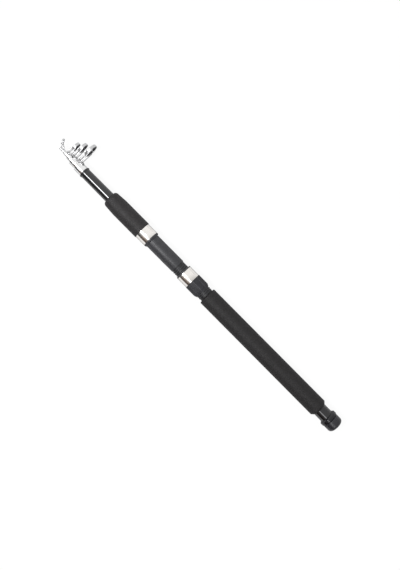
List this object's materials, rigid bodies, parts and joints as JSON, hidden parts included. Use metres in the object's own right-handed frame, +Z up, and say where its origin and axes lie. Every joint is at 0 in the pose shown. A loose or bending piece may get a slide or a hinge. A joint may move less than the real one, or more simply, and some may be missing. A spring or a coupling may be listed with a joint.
{
  "type": "telescopic fishing rod",
  "caption": "Closed telescopic fishing rod with foam grips, a screw-down reel seat, a screw butt cap and nested sections that carry ring line guides.",
  "frame": {"origin": "centre of the small flat at the end of the butt cap, on the rod's axis", "axes": "+X along the rod to the tip, -Y the side of the line guides and the reel seat's bed, +Z up with the rod lying on its side"},
  "size_m": [0.5104, 0.0473, 0.0248],
  "materials": {
    "tube_gloss": "gloss lacquer on glass fibre",
    "foam": "matte closed-cell foam",
    "seat_plastic": "satin",
    "cap_plastic": "satin",
    "bright_metal": "polished",
    "ring_ceramic": "polished dark ceramic",
    "tip_ceramic": "polished pale ceramic"
  },
  "bodies": {
    "handle": {"handle_tube": "tube_gloss", "mouth_ring": "tube_gloss", "foregrip": "foam", "rear_grip": "foam", "seat_barrel": "seat_plastic", "front_arbor": "seat_plastic", "rear_arbor": "seat_plastic", "fixed_hood_liner": "seat_plastic", "fixed_hood_sleeve": "bright_metal", "butt_collar": "cap_plastic", "butt_bush": "cap_plastic"},
    "moving_hood": {"moving_hood_liner": "seat_plastic", "moving_hood_sleeve": "bright_metal"},
    "lock_nut": {"lock_nut": "seat_plastic"},
    "cap_cushion": {"cap_pad": "foam"},
    "butt_cap": {"butt_cap": "cap_plastic"},
    "section_2": {"section_2_tube": "tube_gloss"},
    "section_3": {"section_3_tube": "tube_gloss"},
    "section_4": {"section_4_tube": "tube_gloss"},
    "tip_section": {"tip_rod": "tube_gloss"},
    "guide_2": {"section_2_collar": "bright_metal", "section_2_guide_frame": "bright_metal", "section_2_guide_insert": "ring_ceramic"},
    "guide_3": {"section_3_collar": "bright_metal", "section_3_guide_frame": "bright_metal", "section_3_guide_insert": "ring_ceramic"},
    "guide_4": {"section_4_collar": "bright_metal", "section_4_guide_frame": "bright_metal", "section_4_guide_insert": "ring_ceramic"},
    "tip_top": {"tip_collar": "bright_metal", "tip_tube": "bright_metal", "tip_frame": "bright_metal", "tip_insert": "tip_ceramic"}
  },
  "joints": [
    {"name": "hood_slide", "type": "slide", "parent": "handle", "child": "moving_hood", "axis": [1, 0, 0], "range_m": [-0.0077, 0.02]},
    {"name": "nut_turn", "type": "hinge", "parent": "moving_hood", "child": "lock_nut", "pos_m": [0.2448, 0, 0], "axis": [1, 0, 0], "range_deg": [-1007, 2618]},
    {"name": "cap_slide", "type": "slide", "parent": "handle", "child": "cap_cushion", "axis": [-1, 0, 0], "range_m": [0, 0.0105]},
    {"name": "cap_turn", "type": "hinge", "parent": "cap_cushion", "child": "butt_cap", "pos_m": [0, 0, 0], "axis": [-1, 0, 0], "range_deg": [0, 2518]},
    {"name": "section_2_slide", "type": "slide", "parent": "handle", "child": "section_2", "axis": [1, 0, 0], "range_m": [0, 0.379]},
    {"name": "section_3_slide", "type": "slide", "parent": "section_2", "child": "section_3", "axis": [1, 0, 0], "range_m": [0, 0.391]},
    {"name": "section_4_slide", "type": "slide", "parent": "section_3", "child": "section_4", "axis": [1, 0, 0], "range_m": [0, 0.401]},
    {"name": "tip_slide", "type": "slide", "parent": "section_4", "child": "tip_section", "axis": [1, 0, 0], "range_m": [0, 0.408]},
    {"name": "guide_2_turn", "type": "hinge", "parent": "section_2", "child": "guide_2", "pos_m": [0.4613, 0, 0], "axis": [1, 0, 0], "continuous": true},
    {"name": "guide_3_turn", "type": "hinge", "parent": "section_3", "child": "guide_3", "pos_m": [0.473, 0, 0], "axis": [1, 0, 0], "continuous": true},
    {"name": "guide_4_turn", "type": "hinge", "parent": "section_4", "child": "guide_4", "pos_m": [0.483, 0, 0], "axis": [1, 0, 0], "continuous": true},
    {"name": "tip_top_turn", "type": "hinge", "parent": "tip_section", "child": "tip_top", "pos_m": [0.4899, 0, 0], "axis": [1, 0, 0], "continuous": true}
  ],
  "couplings": [
    {"joint": "hood_slide", "follows": "nut_turn", "m_per_rad": 0.00043768},
    {"joint": "cap_slide", "follows": "cap_turn", "m_per_rad": 0.00023873}
  ]
}
